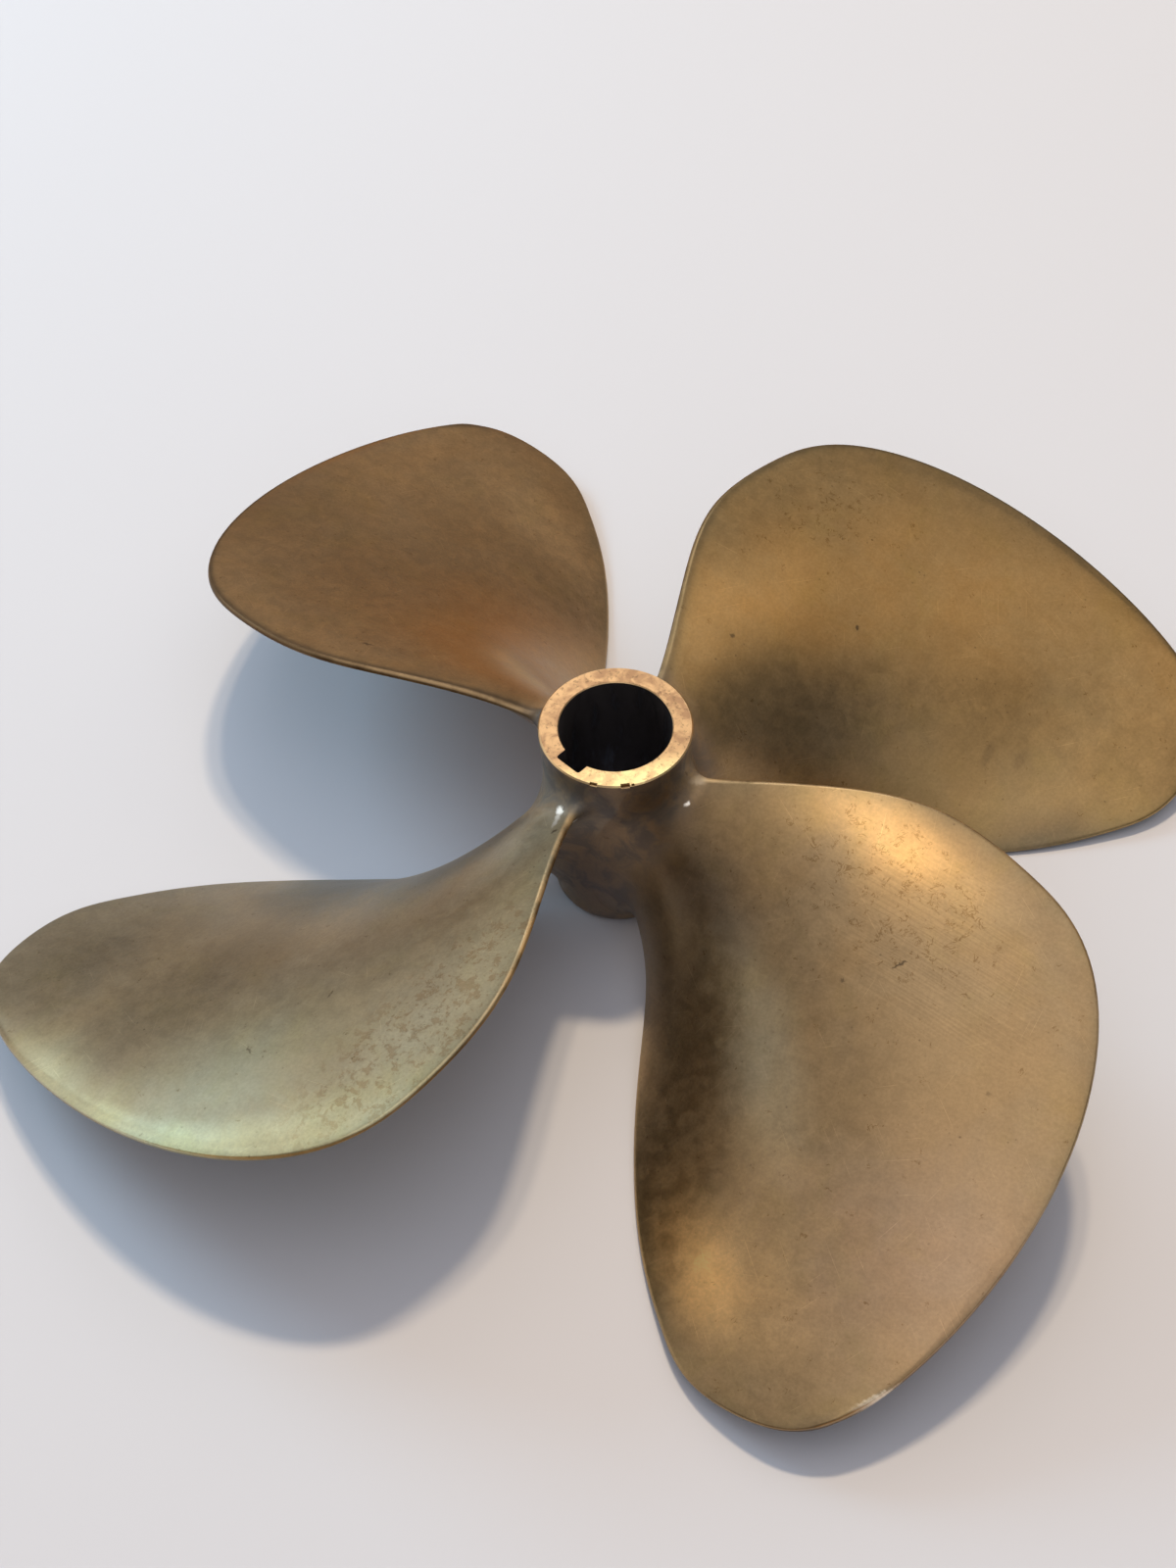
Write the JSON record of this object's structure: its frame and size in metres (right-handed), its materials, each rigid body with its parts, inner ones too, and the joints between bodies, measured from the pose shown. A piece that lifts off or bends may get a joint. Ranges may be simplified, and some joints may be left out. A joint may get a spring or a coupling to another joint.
{
  "type": "ship propeller",
  "caption": "Right-hand ship propeller cast in one piece: broad skewed blades around a short hub with a tapered bore and a keyway.",
  "frame": {"origin": "centre of the bore at the hub's small aft face, on which the propeller stands", "axes": "+Z along the shaft axis towards the large forward face; the gaps between the blades lie along X and Y"},
  "size_m": [0.5096, 0.5096, 0.1016],
  "materials": {
    "aged_bronze": "aged bronze, brown patina with ground and polished patches"
  },
  "bodies": {
    "root": {"propeller_casting": "aged_bronze"}
  },
  "joints": []
}
